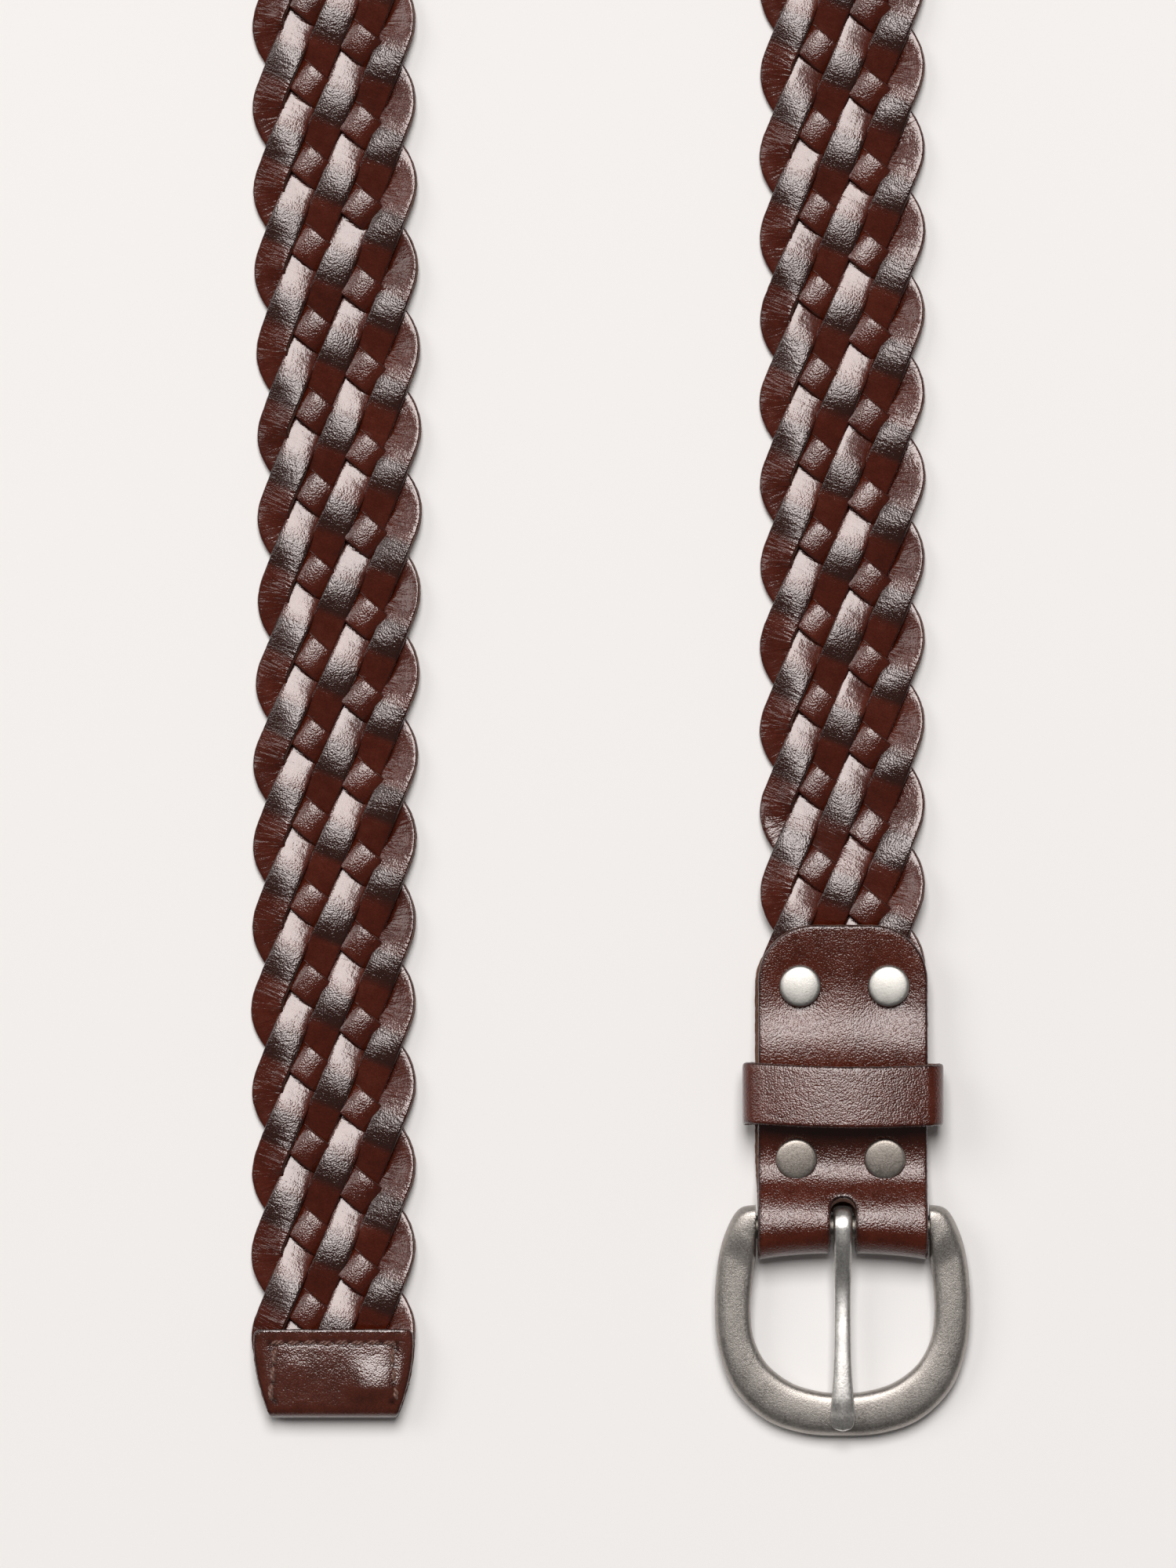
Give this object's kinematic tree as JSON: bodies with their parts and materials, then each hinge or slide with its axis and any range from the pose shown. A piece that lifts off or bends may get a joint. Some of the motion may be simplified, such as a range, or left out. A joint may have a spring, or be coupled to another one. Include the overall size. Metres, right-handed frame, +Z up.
{
  "type": "braided leather belt",
  "caption": "Braided flat leather belt laid out as a long U, with a riveted leather tab, keeper loop, rounded frame buckle with hinged prong, and a stitched end cap.",
  "frame": {"origin": "centre of the footprint, on the surface that the belt lies on", "axes": "+Y from the buckle and the tip towards the loop, +X from the tip leg to the buckle leg, +Z up"},
  "size_m": [0.1481, 0.5302, 0.0327],
  "materials": {
    "strand_leather": "semi-gloss, waxed, fine grain",
    "cap_leather": "semi-gloss, waxed, fine grain",
    "tab_leather": "semi-gloss, waxed, fine grain",
    "keeper_leather": "semi-gloss, waxed, fine grain",
    "antique_nickel": "tumbled antique nickel, soft satin",
    "rivet_steel": "satin",
    "steel_wire": "bright drawn wire",
    "thread": "waxed twisted thread"
  },
  "bodies": {
    "root": {"strand_1_tip_leg": "strand_leather", "strand_2_tip_leg": "strand_leather", "strand_3_tip_leg": "strand_leather", "strand_4_tip_leg": "strand_leather", "strand_5_tip_leg": "strand_leather", "strand_6_tip_leg": "strand_leather", "strand_1_bend": "strand_leather", "strand_2_bend": "strand_leather", "strand_3_bend": "strand_leather", "strand_4_bend": "strand_leather", "strand_5_bend": "strand_leather", "strand_6_bend": "strand_leather", "strand_1_buckle_leg": "strand_leather", "strand_2_buckle_leg": "strand_leather", "strand_3_buckle_leg": "strand_leather", "strand_4_buckle_leg": "strand_leather", "strand_5_buckle_leg": "strand_leather", "strand_6_buckle_leg": "strand_leather", "end_cap": "cap_leather", "stitch_top_row": "thread", "stitch_left_column": "thread", "stitch_right_column": "thread", "buckle_tab": "tab_leather", "rivet_caps_upper": "antique_nickel", "rivet_caps_lower": "antique_nickel", "rivet_posts_upper": "rivet_steel", "rivet_posts_lower": "rivet_steel"},
    "buckle": {"buckle_frame": "antique_nickel", "hinge_bar": "antique_nickel"},
    "prong": {"prong": "antique_nickel"},
    "keeper": {"keeper_loop": "keeper_leather", "keeper_staple": "steel_wire"}
  },
  "joints": [
    {"name": "buckle_hinge", "type": "hinge", "parent": "root", "child": "buckle", "pos_m": [0.0477, -0.2219, 0.0052], "axis": [-1, 0, 0], "range_deg": [0, 45]},
    {"name": "prong_hinge", "type": "hinge", "parent": "buckle", "child": "prong", "pos_m": [0.0477, -0.2219, 0.0052], "axis": [-1, 0, 0], "range_deg": [0, 60]},
    {"name": "keeper_slide", "type": "slide", "parent": "root", "child": "keeper", "axis": [0, 1, 0], "range_m": [-0.0005, 0.005]}
  ]
}
